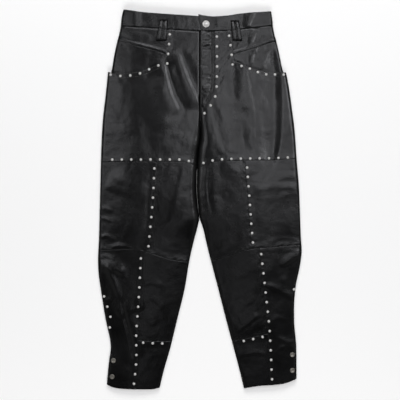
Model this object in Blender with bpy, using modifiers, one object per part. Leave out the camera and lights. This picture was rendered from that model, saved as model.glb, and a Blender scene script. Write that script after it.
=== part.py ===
"""Studded black leather trousers with a high waist and snapped ankles, laid flat with the front up.

The waist points to +Y, the front faces +Z and the back rests on z = 0, with the origin under the middle
of the garment. Right and left are the wearer's, so the right leg lies at -X. Every seam is a smooth line
through a few places measured in millimetres: x across from the middle of the garment, and down from the
highest point of the waistband. A panel is the leather between four of those seams, laid over the one
height that the front of the garment has.
"""

import math
from bisect import bisect_right
from collections import namedtuple

import bmesh
import bpy
from mathutils import Matrix, Vector
from mathutils.bvhtree import BVHTree

MM = 0.001

# Driving sizes, in millimetres.
LENGTH = 966.0  # highest point of the waistband to the lowest point of the hems
LEATHER = 1.5  # one layer of the hide
BAND = 2.4  # the waistband is folded double
LOOP = 3.0  # a belt loop is doubled and stuffed with its own turned edges
HALF_GAP = 0.15  # each piece keeps this far back from the line of its seam
CLEAR = 0.3  # between a piece and what it lies on
BACK_INSET = 1.5  # the back stays this far inside the outline of the front
BACK_CENTRE = -6.3  # x of the straight seam up the middle of the back
CELL = 16.5  # spacing of a panel's points
SIDE_COLUMNS = (0.0, 1.3, 4.2, 13.0)  # closer points where the leather turns down at a side
TURN = 7.0  # width of that turn
TURN_RISE = 4.2  # and how high it climbs
MOUTH_LIFT = 1.5  # the front stands proud of the pocket facing along the mouth
MOUTH_FADE = 34.0  # and sinks back over this distance
STUD_RADIUS = 3.5
STUD_TOP = 1.7
STUD_HEIGHT = 2.2
STUD_SINK = 0.7  # depth of a stud's foot in the leather
STUD_SIDES = 8
BUTTON_RADIUS = 8.8
BUTTON_HEIGHT = 4.2
SNAP_RADIUS = 6.6
SNAP_HEIGHT = 2.8
TURNED_SIDES = 24

BLACK_LEATHER = ("black_leather", (0.012, 0.012, 0.014), 0.38, 0.0)
POLISHED_METAL = ("polished_metal", (0.78, 0.77, 0.74), 0.18, 1.0)
AGED_METAL = ("aged_metal", (0.42, 0.40, 0.35), 0.34, 1.0)


class Line:
    """A smooth line through (along, value) places that never swings past them."""

    def __init__(self, *places):
        self.at = [place[0] for place in places]
        self.values = [place[1] for place in places]
        steps = [b - a for a, b in zip(self.at, self.at[1:])]
        rises = [(b - a) / step for a, b, step in zip(self.values, self.values[1:], steps)]
        middle = [0.0 if a * b <= 0 else 2 * a * b / (a + b) for a, b in zip(rises, rises[1:])]
        self.slopes = [rises[0], *middle, rises[-1]]

    def __call__(self, at):
        if at <= self.at[0]:
            return self.values[0] + self.slopes[0] * (at - self.at[0])
        if at >= self.at[-1]:
            return self.values[-1] + self.slopes[-1] * (at - self.at[-1])
        i = bisect_right(self.at, at) - 1
        step = self.at[i + 1] - self.at[i]
        t = (at - self.at[i]) / step
        leave = self.slopes[i] * step
        arrive = self.slopes[i + 1] * step
        eased = t * t * (3 - 2 * t)
        swing = t * (1 - t) * ((1 - t) * leave - t * arrive)
        return self.values[i] + (self.values[i + 1] - self.values[i]) * eased + swing


# Seams and edges that run across the body, as places of x and down.
ACROSS = {
    "waist_top_R": Line((-195, 0), (-158, 6), (-110, 10.5), (-40, 15), (-5, 17.5)),
    "waist_top_L": Line((-5, 13), (16, 17), (36, 18.5), (67, 16.5), (112, 10), (182, 5)),
    "waist_seam": Line(
        (-202, 42), (-153, 46), (-109, 49), (-51, 53), (-5, 55), (31, 55.5), (77, 54), (110, 50),
        (148, 46), (186, 41)
    ),
    "yoke_seam_R": Line((-206, 80), (-166, 92), (-127, 102), (-85, 115)),
    "yoke_seam_L": Line((85, 115), (128, 102), (158, 92), (193, 81)),
    "mouth_R": Line((-234, 160.5), (-200, 163.5), (-158, 159.5), (-87, 132)),
    "mouth_L": Line((88, 132), (150, 154.5), (190, 160), (219, 160.5)),
    "thigh_seam_R": Line((-251, 388), (-60, 388), (-42, 389.3), (-24, 393), (-8, 400)),
    "thigh_seam_L": Line((-6, 404), (11, 397), (36, 389), (60, 387), (105, 385), (198, 383), (246, 380)),
    "knee_seam_R": Line((-258, 613), (-165, 609.5), (-115, 623), (-70, 637), (-24, 643)),
    "knee_seam_L": Line((24, 641), (59, 633), (102, 616), (128, 610), (158, 607), (259, 599)),
    "ankle_seam_R": Line((-158, 841), (-119, 843), (-70, 844)),
    "ankle_seam_L": Line((80, 844), (111, 837.5), (135, 832.5), (173, 824)),
    "hem_R": Line((-237, 954.5), (-219, 961.5), (-193, 965), (-152, LENGTH), (-122, LENGTH), (-102, 962)),
    "hem_L": Line((112, 964), (128, 961), (153, 957), (184, 955), (214, 951.5), (246, 940)),
}

# Seams and edges that run down the body, as places of down and x.
ALONG = {
    "side_R": Line((0, -194.5), (20, -199), (44, -201.5), (97, -214), (128, -220), (164, -225)),
    "side_L": Line((5, 181.5), (27, 184.5), (44, 186), (97, 198.5), (128, 205), (160, 211)),
    "outseam_R": Line(
        (161, -234), (220, -240), (281, -247), (342, -250.5), (449, -253.5), (587, -257), (638, -259.3),
        (663, -258.5),
        (694, -255), (724, -250.5), (786, -240.5), (862, -226.8), (893, -231), (960, -237.5)
    ),
    "outseam_L": Line(
        (158, 218.5), (189, 225), (250, 234), (311, 241.5), (383, 246.5), (449, 252), (587, 257.5),
        (613, 259.3),
        (648, 255.5), (709, 243.5), (755, 240), (790, 240), (862, 245.5), (940, 246)
    ),
    "back_side_R": Line((40, -201), (97, -214), (160, -228), (220, -240), (281, -247)),
    "back_side_L": Line((40, 186), (97, 198.5), (158, 214), (189, 225), (250, 234)),
    "centre_R": Line((0, -4.8), (55, -1.4), (257, -1.4), (306, -2.4), (357, -6.0), (404, -7.0)),
    "strip_seam_R": Line((50, -81), (90, -83.3), (114, -85), (139, -88)),
    "strip_seam_L": Line((50, 79), (91, 82.5), (115, 84.8), (141, 88)),
    "mid_thigh_R": Line((388, -110), (429, -111), (479, -114), (528, -117.7), (578, -123.5), (612, -126)),
    "mid_thigh_L": Line((385, 114), (427, 116), (475, 120.2), (524, 123.5), (570, 127), (609, 130)),
    "shin_seam_R": Line(
        (615, -144), (682, -146.7), (733, -150), (784, -154.6), (835, -157), (883, -156.2), (962, -163)
    ),
    "shin_seam_L": Line((605, 149.5), (671, 156.4), (769, 167.1), (818, 172.2), (914, 176.6), (955, 179)),
    "inseam_R": Line(
        (404, -7.2), (455, -8.6), (505, -4.8), (531, -1.8), (541, -3.4), (556, -6.6), (587, -15),
        (640, -27),
        (709, -38.5), (786, -57), (862, -75.5), (923, -93), (962, -102)
    ),
    "inseam_L": Line(
        (404, -6.4), (455, -7.8), (505, -4.0), (531, -0.8), (541, 2.6), (556, 8), (587, 15.3),
        (618, 22.7),
        (709, 46.5), (786, 66), (862, 86.4), (923, 102.3), (966, 112.5)
    ),
}

# The lie of the front, as places of down and value: how high it lies at the sides and on the crest of
# each leg, where that crest runs, and how much of the rise is lost along the middle, which is all of it
# from the crotch down.
SIDE_HEIGHT = Line((0, 3.4), (50, 3.2), (90, 2.6), (LENGTH, 2.6))
CREST_HEIGHT = Line(
    (0, 10), (50, 10.5), (100, 12), (160, 13.5), (280, 15), (390, 16), (500, 15.5), (610, 14.5),
    (700, 13), (850, 11), (966, 9.5)
)
CREST_R = Line(
    (0, -112), (60, -125), (120, -134), (380, -133), (500, -130), (620, -145), (760, -152), (966, -165)
)
CREST_L = Line(
    (0, 110), (60, 140), (140, 190), (300, 196), (380, 180), (470, 150), (620, 148), (760, 160),
    (966, 176)
)
MIDDLE_LOSS = Line((0, 0.06), (120, 0.1), (220, 0.14), (257, 0.22), (330, 0.48), (404, 1.0), (450, 1.0))
CROTCH = 404.0

Fold = namedtuple("Fold", "x down to_x to_down width height")
FOLDS = (  # the largest ridges, and troughs where the height is negative
    Fold(-84, 142, -62, 262, 15, 3.2),
    Fold(-56, 140, -14, 236, 15, 3.2),
    Fold(-62, 160, -42, 240, 13, -2.6),
    Fold(-214, 330, -150, 312, 16, -1.8),
    Fold(-226, 408, -168, 436, 18, 2.2),
    Fold(-206, 476, -140, 486, 15, -2.2),
    Fold(-250, 626, -200, 646, 15, 2.6),
    Fold(-234, 648, -206, 716, 15, 2.4),
    Fold(-208, 706, -178, 842, 15, 2.4),
    Fold(-240, 690, -206, 800, 16, -2.4),
    Fold(200, 128, 206, 214, 14, -3.2),
    Fold(206, 204, 196, 362, 15, -3.2),
    Fold(20, 276, 58, 372, 14, -2.6),
    Fold(48, 268, 84, 372, 16, 2.4),
    Fold(26, 412, 16, 496, 14, 2.6),
    Fold(140, 466, 226, 452, 15, -1.8),
    Fold(216, 638, 246, 616, 15, 2.6),
    Fold(174, 706, 238, 752, 14, -2.8),
    Fold(112, 776, 150, 722, 22, 1.8),
)

# Each panel is one or more stretches between a top, bottom, left and right line. The number beside a line
# moves it by half gaps, down or to the right, so that neighbours stay apart and the stretches of one panel
# meet.
Stretch = namedtuple("Stretch", "top bottom left right free rows across", defaults=("", 0, 0))
FRONT_PANELS = {
    "yoke_R": [
        Stretch(("waist_seam", 1), ("yoke_seam_R", -1), ("side_R", 0), ("strip_seam_R", -1), "left")
    ],
    "yoke_L": [
        Stretch(("waist_seam", 1), ("yoke_seam_L", -1), ("strip_seam_L", 1), ("side_L", 0), "right")
    ],
    "pocket_facing_R": [
        Stretch(("yoke_seam_R", 1), ("mouth_R", -3), ("side_R", 0), ("strip_seam_R", -1), "left")
    ],
    "pocket_facing_L": [
        Stretch(("yoke_seam_L", 1), ("mouth_L", -3), ("strip_seam_L", 1), ("side_L", 0), "right")
    ],
    "front_R": [
        Stretch(("mouth_R", 2), ("thigh_seam_R", -2), ("outseam_R", 0), ("strip_seam_R", 1), "left", 14),
        Stretch(
            ("mouth_R", 2), ("thigh_seam_R", -2), ("strip_seam_R", 1), ("centre_R", -1), "right", 14, 5
        ),
        Stretch(("waist_seam", 1), ("mouth_R", 2), ("strip_seam_R", 1), ("centre_R", -1), "right", 4, 5),
    ],
    "front_L": [
        Stretch(
            ("mouth_L", 2), ("thigh_seam_L", -2), ("strip_seam_L", -1), ("outseam_L", 0), "right", 14
        ),
        Stretch(
            ("mouth_L", 2), ("thigh_seam_L", -2), ("centre_R", 1), ("strip_seam_L", -1), "left", 14, 5
        ),
        Stretch(("waist_seam", 1), ("mouth_L", 2), ("centre_R", 1), ("strip_seam_L", -1), "left", 4, 5),
    ],
    "thigh_outer_R": [
        Stretch(("thigh_seam_R", 2), ("knee_seam_R", -2), ("outseam_R", 0), ("mid_thigh_R", -1), "left")
    ],
    "thigh_inner_R": [
        Stretch(("thigh_seam_R", 2), ("knee_seam_R", -2), ("mid_thigh_R", 1), ("inseam_R", 0), "right")
    ],
    "thigh_inner_L": [
        Stretch(("thigh_seam_L", 2), ("knee_seam_L", -2), ("inseam_L", 0), ("mid_thigh_L", -1), "left")
    ],
    "thigh_outer_L": [
        Stretch(("thigh_seam_L", 2), ("knee_seam_L", -2), ("mid_thigh_L", 1), ("outseam_L", 0), "right")
    ],
    "shin_outer_R": [
        Stretch(("knee_seam_R", 2), ("hem_R", 0), ("outseam_R", 0), ("shin_seam_R", -1), "left")
    ],
    "shin_inner_R": [
        Stretch(("knee_seam_R", 2), ("ankle_seam_R", -1), ("shin_seam_R", 1), ("inseam_R", 0), "right")
    ],
    "ankle_R": [Stretch(("ankle_seam_R", 1), ("hem_R", 0), ("shin_seam_R", 1), ("inseam_R", 0), "right")],
    "shin_inner_L": [
        Stretch(("knee_seam_L", 2), ("ankle_seam_L", -1), ("inseam_L", 0), ("shin_seam_L", -1), "left")
    ],
    "ankle_L": [Stretch(("ankle_seam_L", 1), ("hem_L", 0), ("inseam_L", 0), ("shin_seam_L", -1), "left")],
    "shin_outer_L": [
        Stretch(("knee_seam_L", 2), ("hem_L", 0), ("shin_seam_L", 1), ("outseam_L", 0), "right")
    ],
}
BAND_PANELS = {
    "waistband_R": [
        Stretch(("waist_top_R", 0), ("waist_seam", -1), ("side_R", 0), ("centre_R", -1), "left")
    ],
    "waistband_L": [
        Stretch(("waist_top_L", 0), ("waist_seam", -1), ("centre_R", 1), ("side_L", 0), "right")
    ],
}

Loop = namedtuple("Loop", "left_top left_bottom right_top right_bottom top bottom")
BELT_LOOPS = {  # x of each corner, and down of the two ends
    "belt_loop_R": Loop(-101, -112, -79, -84, 27, 81),
    "belt_loop_L": Loop(76, 83, 99, 107, 29, 81),
}

Row = namedtuple("Row", "panel count places")
STUD_ROWS = (  # studs spaced evenly along a line through places of x and down
    Row("front_R", 4, ((-76.5, 66), (-78.3, 90), (-82.9, 139))),
    Row("front_R", 6, ((-105.3, 144), (-130, 154), (-149, 163), (-175, 169), (-201, 170), (-227, 166.5))),
    Row("front_R", 9, ((-222.6, 382.3), (-52, 382.3), (-28, 386))),
    Row("front_L", 4, ((74.2, 68), (77.5, 91), (82.9, 141))),
    Row(
        "front_L", 6, ((105.6, 145), (130.6, 153), (149.4, 161), (172.4, 165.8), (196, 166), (213, 166.5))
    ),
    Row("front_L", 9, ((43, 70), (43.5, 147), (42.6, 197), (38.8, 223), (27.3, 245), (11.5, 265))),
    Row("front_L", 10, ((9, 391), (36.5, 384), (60, 381.7), (105, 380), (173, 379), (223.4, 377))),
    Row("thigh_outer_R", 9, ((-115.5, 405), (-119, 479), (-125.5, 553), (-130.3, 602))),
    Row("thigh_outer_L", 9, ((119.6, 402.6), (125.2, 475), (130.3, 546), (134.4, 592.4))),
    Row(
        "shin_outer_R", 14,
        ((-149.7, 633), (-155, 733), (-160.6, 809), (-161.9, 835), (-161.2, 883), (-167.3, 951.5))
    ),
    Row("shin_outer_R", 3, ((-243.5, 730), (-236.5, 753), (-227.5, 778))),
    Row("shin_outer_L", 14, ((155.6, 622), (169.6, 745), (177.2, 818), (183.1, 940))),
    Row("ankle_R", 3, ((-143.8, 846.8), (-119.3, 848.6), (-95.6, 849.3))),
    Row("ankle_L", 3, ((111.4, 843), (135.1, 838), (159.1, 832.5))),
)

Turned = namedtuple("Turned", "x down radius height metal")
FASTENERS = {
    "waist_button": Turned(15.6, 38, BUTTON_RADIUS, BUTTON_HEIGHT, POLISHED_METAL),
    "ankle_snap_R_upper": Turned(-219.8, 893, SNAP_RADIUS, SNAP_HEIGHT, AGED_METAL),
    "ankle_snap_R_lower": Turned(-223.1, 934, SNAP_RADIUS, SNAP_HEIGHT, AGED_METAL),
    "ankle_snap_L_upper": Turned(235.0, 878, SNAP_RADIUS, SNAP_HEIGHT, AGED_METAL),
    "ankle_snap_L_lower": Turned(235.0, 918, SNAP_RADIUS, SNAP_HEIGHT, AGED_METAL),
}


def side_edge(side, down):
    """x of the outer edge of the front at a level."""
    mouth = 161.0 if side == "R" else 158.0
    return ALONG["side_" + side](down) if down < mouth else ALONG["outseam_" + side](down)


def inner_edge(side, down):
    """x of the middle of the body, or of the inseam from the crotch down."""
    return ALONG["centre_R"](down) if down < CROTCH else ALONG["inseam_" + side](down)


def turned_rise(distance, width, rise):
    """A quarter round that climbs from the edge of the leather."""
    short = 1 - min(max(distance, 0.0) / width, 1.0)
    return rise * math.sqrt(1 - short * short)


def fold_height(x, down):
    total = 0.0
    for fold in FOLDS:
        run = Vector((fold.to_x - fold.x, fold.to_down - fold.down))
        away = Vector((x - fold.x, down - fold.down))
        t = min(max(away.dot(run) / run.length_squared, 0.0), 1.0)
        reach = (away - run * t).length / fold.width
        if reach < 1:
            total += fold.height * (1 - reach * reach) ** 2 * (1 - (2 * t - 1) ** 4)
    return total


def height(x, down):
    """Height of the front's outer face above the table, in millimetres."""
    side = "R" if x < (inner_edge("R", down) + inner_edge("L", down)) / 2 else "L"
    outer = side_edge(side, down)
    inner = inner_edge(side, down)
    crest = (CREST_R if side == "R" else CREST_L)(down)
    low = SIDE_HEIGHT(down)
    top = CREST_HEIGHT(down)
    from_outer = abs(x - outer)
    from_inner = abs(x - inner)
    if (x - crest) * (outer - crest) > 0:
        swell = math.sin(math.pi / 2 * min(from_outer / abs(outer - crest), 1.0))
        level = low + turned_rise(from_outer, TURN, TURN_RISE) + (top - low - TURN_RISE) * swell
    else:
        lost = (top - low) * min(MIDDLE_LOSS(down), 1.0)
        turn = min(TURN_RISE, 0.5 * lost)
        swell = math.sin(math.pi / 2 * min(from_inner / abs(inner - crest), 1.0))
        level = top - lost + turned_rise(from_inner, TURN, turn) + (lost - turn) * swell
    near_edge = from_outer if down < CROTCH else min(from_outer, from_inner)
    calm = min(near_edge / (2 * TURN), 1.0)
    return level + fold_height(x, down) * calm * calm * (3 - 2 * calm)


def mouth_lift(side):
    """How far the front panel stands above that height near its pocket mouth."""
    mouth = ACROSS["mouth_" + side]
    strip = ALONG["strip_seam_" + side]

    def lift(x, down):
        below = min(max((down - mouth(x)) / MOUTH_FADE, 0.0), 1.0)
        beside = min(max((abs(x) - abs(strip(down))) / MOUTH_FADE, 0.0), 1.0)
        return MOUTH_LIFT * (1 - below) ** 2 * beside

    return lift


def level_lift(amount):
    return lambda x, down: amount


LIFTS = {"front_R": mouth_lift("R"), "front_L": mouth_lift("L")}


def place(x, down, z):
    """A point of the garment in metres, with y = 0 halfway down its length."""
    return Vector((x * MM, (LENGTH / 2 - down) * MM, z * MM))


def land(faces, x, down):
    """Where a plumb line over x and down meets the highest of some faces, and which way that face looks."""
    found = []
    for aside in (0.0, HALF_GAP * 3, -HALF_GAP * 3):  # a line over a seam's gap meets the leather beside it
        above = place(x + aside, down + aside, 100.0)
        hits = [face.ray_cast(above, Vector((0.0, 0.0, -1.0))) for face in faces]
        found.extend(hit for hit in hits if hit[0] is not None)
    spot, normal, _, _ = max(found, key=lambda hit: hit[0].z)
    return place(x, down, spot.z / MM), normal


def edge_line(table, spec):
    name, half_gaps = spec
    line = table[name]
    return lambda at: line(at) + half_gaps * HALF_GAP


def columns(stretch, left, right, down_middle):
    """Distances from the left and shares of the width for each column of points."""
    width = right(down_middle) - left(down_middle)
    close = len(SIDE_COLUMNS) - 1
    plain_width = width - (SIDE_COLUMNS[-1] if stretch.free else 0.0)
    plain = stretch.across or max(2, round(plain_width / CELL))
    if not stretch.free:
        return [(0.0, i / plain) for i in range(plain + 1)]
    reach = SIDE_COLUMNS[-1]
    spaced = [(reach * (1 - i / plain), i / plain) for i in range(plain + 1)]
    near = [(distance, 0.0) for distance in SIDE_COLUMNS[:close]]
    return near + spaced


def add_stretch(mesh, stretch, lift):
    """One grid between four lines, moved onto the height of the garment."""
    top = edge_line(ACROSS, stretch.top)
    bottom = edge_line(ACROSS, stretch.bottom)
    left = edge_line(ALONG, stretch.left)
    right = edge_line(ALONG, stretch.right)
    level = (top(left(300)) + bottom(right(300))) / 2
    middle_x = (left(level) + right(level)) / 2
    level = (top(middle_x) + bottom(middle_x)) / 2
    rows = stretch.rows or max(2, round((bottom(middle_x) - top(middle_x)) / CELL))
    spacing = columns(stretch, left, right, level)
    across = len(spacing) - 1
    grid = bmesh.ops.create_grid(mesh, x_segments=across, y_segments=rows, size=1.0)
    for vertex in grid["verts"]:
        column = round((vertex.co.x + 1) / 2 * across)
        share_down = (1 - vertex.co.y) / 2
        distance, share = spacing[across - column if stretch.free == "right" else column]
        down = level
        for _ in range(12):
            start, end = left(down), right(down)
            if stretch.free == "right":
                x = end - distance - share * (end - start)
            else:
                x = start + distance + share * (end - start)
            down = top(x) + share_down * (bottom(x) - top(x))
        vertex.co = place(x, down, height(x, down) + lift(x, down))


def material(finish):
    name, colour, roughness, metallic = finish
    made = bpy.data.materials.get(name)
    if made is None:
        made = bpy.data.materials.new(name)
        made.use_nodes = True
        shader = made.node_tree.nodes["Principled BSDF"]
        shader.inputs["Base Color"].default_value = (*colour, 1.0)
        shader.inputs["Roughness"].default_value = roughness
        shader.inputs["Metallic"].default_value = metallic
    return made


def add_object(name, mesh, finish, collection):
    data = bpy.data.meshes.new(name)
    mesh.to_mesh(data)
    mesh.free()
    data.materials.append(material(finish))
    data.shade_smooth()
    made = bpy.data.objects.new(name, data)
    collection.objects.link(made)
    return made


def thicken(piece, thickness, outward=-1.0):
    wall = piece.modifiers.new("leather", "SOLIDIFY")
    wall.thickness = thickness * MM
    wall.offset = outward
    flat_faces = piece.modifiers.new("flat faces", "TRIANGULATE")
    flat_faces.min_vertices = 4


def make_panel(name, stretches, thickness, lift, collection):
    mesh = bmesh.new()
    for stretch in stretches:
        add_stretch(mesh, stretch, lift)
    bmesh.ops.remove_doubles(mesh, verts=mesh.verts, dist=0.02 * MM)
    bmesh.ops.triangulate(mesh, faces=mesh.faces)
    face = BVHTree.FromBMesh(mesh)
    panel = add_object(name, mesh, BLACK_LEATHER, collection)
    thicken(panel, thickness)
    return panel, face


def spaced_along(places, count):
    """Evenly spaced points on a line through places."""
    runs = [math.dist(a, b) for a, b in zip(places, places[1:])]
    at = [sum(runs[:i]) for i in range(len(places))]
    across = Line(*zip(at, (p[0] for p in places)))
    down = Line(*zip(at, (p[1] for p in places)))
    return [(across(at[-1] * i / (count - 1)), down(at[-1] * i / (count - 1))) for i in range(count)]


def set_studs(panel, face, collection):
    """Domed studs, made one with the panel whose leather they are riveted to."""
    mesh = bmesh.new()
    for row in STUD_ROWS:
        if row.panel != panel.name:
            continue
        for x, down in spaced_along(row.places, row.count):
            foot, normal = land([face], x, down)
            centre = foot + normal * (STUD_HEIGHT / 2 - STUD_SINK / 2) * MM
            turn = normal.to_track_quat("Z", "Y").to_matrix().to_4x4()
            bmesh.ops.create_cone(
                mesh, cap_ends=True, segments=STUD_SIDES, radius1=STUD_RADIUS * MM, radius2=STUD_TOP * MM,
                depth=(STUD_HEIGHT + STUD_SINK) * MM, matrix=Matrix.Translation(centre) @ turn,
            )
    studs = add_object(panel.name + "_studs", mesh, BLACK_LEATHER, collection)
    studs.hide_render = True
    studs.display_type = "WIRE"
    joined = panel.modifiers.new("studs", "BOOLEAN")
    joined.operation = "UNION"
    joined.object = studs


def make_flat(name, top, bottom, left, right, thickness, collection):
    """A plain layer of the back, lying on the table between four lines."""
    middle_x = (left(300) + right(300)) / 2
    rows = max(2, round((bottom(middle_x) - top(middle_x)) / (3 * CELL)))
    across = max(2, round((right(300) - left(300)) / (6 * CELL)))
    mesh = bmesh.new()
    grid = bmesh.ops.create_grid(mesh, x_segments=across, y_segments=rows, size=1.0)
    for vertex in grid["verts"]:
        share = (vertex.co.x + 1) / 2
        share_down = (1 - vertex.co.y) / 2
        down = 300.0
        for _ in range(12):
            x = left(down) + share * (right(down) - left(down))
            down = top(x) + share_down * (bottom(x) - top(x))
        vertex.co = place(x, down, thickness)
    layer = add_object(name, mesh, BLACK_LEATHER, collection)
    thicken(layer, thickness)
    return layer


def make_back(collection):
    """Both back legs and the back of the waistband, plain because they lie face down."""

    def outer(side, sign):
        def edge(down):
            join = 281.0 if side == "R" else 250.0
            line = ALONG["back_side_" + side] if down < join else ALONG["outseam_" + side]
            return line(down) - sign * BACK_INSET

        return edge

    def inner(side, sign):
        def edge(down):
            if down < CROTCH:
                return BACK_CENTRE + sign * HALF_GAP
            return inner_edge(side, down) + sign * BACK_INSET

        return edge

    def waist_seam(x):
        return ACROSS["waist_seam"](x) + BACK_INSET

    make_flat(
        "back_R", waist_seam, lambda x: ACROSS["hem_R"](x) - BACK_INSET, outer("R", -1), inner("R", -1),
        LEATHER, collection
    )
    make_flat(
        "back_L", waist_seam, lambda x: ACROSS["hem_L"](x) - BACK_INSET, inner("L", 1), outer("L", 1),
        LEATHER, collection
    )
    make_flat(
        "waistband_back",
        lambda x: ACROSS["waist_top_R" if x < 0 else "waist_top_L"](x) + 2 * BACK_INSET,
        lambda x: ACROSS["waist_seam"](x) - HALF_GAP,
        lambda down: ALONG["side_R"](down) + BACK_INSET,
        lambda down: ALONG["side_L"](down) - BACK_INSET,
        BAND,
        collection,
    )


def make_belt_loop(name, loop, faces, collection):
    """A doubled strip sewn down above and below, bowed off the band between its ends."""
    mesh = bmesh.new()
    across, rows = 4, 6
    grid = bmesh.ops.create_grid(mesh, x_segments=across, y_segments=rows, size=1.0)
    for vertex in grid["verts"]:
        share = (vertex.co.x + 1) / 2
        share_down = (1 - vertex.co.y) / 2
        left = loop.left_top + (loop.left_bottom - loop.left_top) * share_down
        right = loop.right_top + (loop.right_bottom - loop.right_top) * share_down
        x = left + (right - left) * share
        down = loop.top + (loop.bottom - loop.top) * share_down
        bow = 1.6 * math.sin(math.pi * share_down)
        spot, _ = land(faces, x, down)
        vertex.co = spot + Vector((0.0, 0.0, (2 * CLEAR + bow) * MM))
    strap = add_object(name, mesh, BLACK_LEATHER, collection)
    thicken(strap, LOOP, outward=1.0)


def make_turned(name, turned, faces, collection):
    """A domed cap with a rolled rim, seated square on the leather."""
    profile = [
        (0.0, 1.0), (0.45, 0.94), (0.75, 0.72), (0.88, 0.5), (1.0, 0.4), (1.0, 0.12), (0.93, 0.0),
        (0.0, 0.0)
    ]
    mesh = bmesh.new()
    points = [mesh.verts.new((r * turned.radius * MM, 0.0, z * turned.height * MM)) for r, z in profile]
    for a, b in zip(points, points[1:]):
        mesh.edges.new((a, b))
    cap = add_object(name, mesh, turned.metal, collection)
    turning = cap.modifiers.new("turned", "SCREW")
    turning.steps = TURNED_SIDES
    turning.render_steps = TURNED_SIDES
    turning.use_merge_vertices = True
    turning.merge_threshold = 0.00001
    seat, normal = land(faces, turned.x, turned.down)
    rise = 0.0
    for i in range(TURNED_SIDES):
        angle = i * math.tau / TURNED_SIDES
        x = turned.x + turned.radius * math.cos(angle)
        down = turned.down + turned.radius * math.sin(angle)
        rim, _ = land(faces, x, down)
        rise = max(rise, (rim - seat).dot(normal))
    cap.location = seat + normal * (rise + CLEAR * MM)
    cap.rotation_mode = "QUATERNION"
    cap.rotation_quaternion = normal.to_track_quat("Z", "Y")


def build():
    for leftover in list(bpy.data.objects):
        bpy.data.objects.remove(leftover)
    trousers = bpy.data.collections.new("leather_trousers")
    cutters = bpy.data.collections.new("cutters")
    bpy.context.scene.collection.children.link(trousers)
    bpy.context.scene.collection.children.link(cutters)
    studded = {row.panel for row in STUD_ROWS}
    faces = []
    for name, stretches in FRONT_PANELS.items():
        panel, face = make_panel(name, stretches, LEATHER, LIFTS.get(name, level_lift(0.0)), trousers)
        faces.append(face)
        if name in studded:
            set_studs(panel, face, cutters)
    for name, stretches in BAND_PANELS.items():
        _, face = make_panel(name, stretches, BAND, level_lift(BAND - LEATHER), trousers)
        faces.append(face)
    make_back(trousers)
    for name, loop in BELT_LOOPS.items():
        make_belt_loop(name, loop, faces, trousers)
    for name, turned in FASTENERS.items():
        make_turned(name, turned, faces, trousers)


build()
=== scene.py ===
import math

import bpy
import numpy as np
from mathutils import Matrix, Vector, noise


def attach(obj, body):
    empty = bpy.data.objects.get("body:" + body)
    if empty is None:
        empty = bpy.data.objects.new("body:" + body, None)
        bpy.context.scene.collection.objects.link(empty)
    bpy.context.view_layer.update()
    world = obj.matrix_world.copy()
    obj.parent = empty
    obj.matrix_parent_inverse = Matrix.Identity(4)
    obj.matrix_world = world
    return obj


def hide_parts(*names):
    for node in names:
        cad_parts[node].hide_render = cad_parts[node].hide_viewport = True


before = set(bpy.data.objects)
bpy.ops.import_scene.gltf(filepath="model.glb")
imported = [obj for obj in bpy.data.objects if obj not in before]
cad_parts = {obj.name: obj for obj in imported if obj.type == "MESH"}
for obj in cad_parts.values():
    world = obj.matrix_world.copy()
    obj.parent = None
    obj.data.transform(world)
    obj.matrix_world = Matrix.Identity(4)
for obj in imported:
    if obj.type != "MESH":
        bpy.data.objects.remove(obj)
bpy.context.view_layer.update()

# The backs. One plain piece of black nappa a leg, 1.5 mm thick and cut whole from waist to hem, flat on the
# table. All seams are in millimetres: x across from the middle, and down from the top of the waistband.

mm = 0.001


class Seam:
    """A smooth sewing line through measured places that never swings past them."""

    def __init__(self, *places):
        self.at, self.value = np.array(places, float).T
        rise = np.diff(self.value) / np.diff(self.at)
        both = rise[:-1] * rise[1:]
        total = np.where(both > 0, rise[:-1] + rise[1:], 1.0)
        self.slope = np.concatenate([rise[:1], np.where(both > 0, 2 * both / total, 0.0), rise[-1:]])

    def __call__(self, at):
        at = np.asarray(at, float)
        i = np.clip(np.searchsorted(self.at, at, side="right") - 1, 0, len(self.at) - 2)
        step = self.at[i + 1] - self.at[i]
        t = np.clip((at - self.at[i]) / step, 0.0, 1.0)
        swing = t * (1 - t) * step * ((1 - t) * self.slope[i] - t * self.slope[i + 1])
        inside = self.value[i] + (self.value[i + 1] - self.value[i]) * t * t * (3 - 2 * t) + swing
        before = np.minimum(at - self.at[0], 0.0) * self.slope[0]
        after = np.maximum(at - self.at[-1], 0.0) * self.slope[-1]
        return inside + before + after


def moved(line, amount):
    return lambda at: line(at) + amount


body_length = 966.0
crotch = 404.0
waist_seam = Seam(
    (-202, 42), (-153, 46), (-109, 49), (-51, 53), (-5, 55), (31, 55.5), (77, 54), (110, 50), (148, 46),
    (186, 41))
outseam_right = Seam(
    (161, -234), (220, -240), (281, -247), (342, -250.5), (449, -253.5), (587, -257), (638, -259.3),
    (663, -258.5), (694, -255), (724, -250.5), (786, -240.5), (862, -226.8), (893, -231), (960, -237.5))
outseam_left = Seam(
    (158, 218.5), (189, 225), (250, 234), (311, 241.5), (383, 246.5), (449, 252), (587, 257.5), (613, 259.3),
    (648, 255.5), (709, 243.5), (755, 240), (790, 240), (862, 245.5), (940, 246))
back_right = Seam((40, -199), (97, -212), (160, -226), (220, -238), (281, -245))
back_left = Seam((40, 184), (97, 196.5), (158, 212), (189, 223), (250, 232))
inseam_right = Seam(
    (404, -7.2), (455, -8.6), (505, -4.8), (531, -1.8), (541, -3.4), (556, -6.6), (587, -15), (640, -27),
    (709, -38.5), (786, -57), (862, -75.5), (923, -93), (962, -102))
inseam_left = Seam(
    (404, -6.4), (455, -7.8), (505, -4.0), (531, -0.8), (541, 2.6), (556, 8), (587, 15.3), (618, 22.7),
    (709, 46.5), (786, 66), (862, 86.4), (923, 102.3), (966, 112.5))
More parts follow.
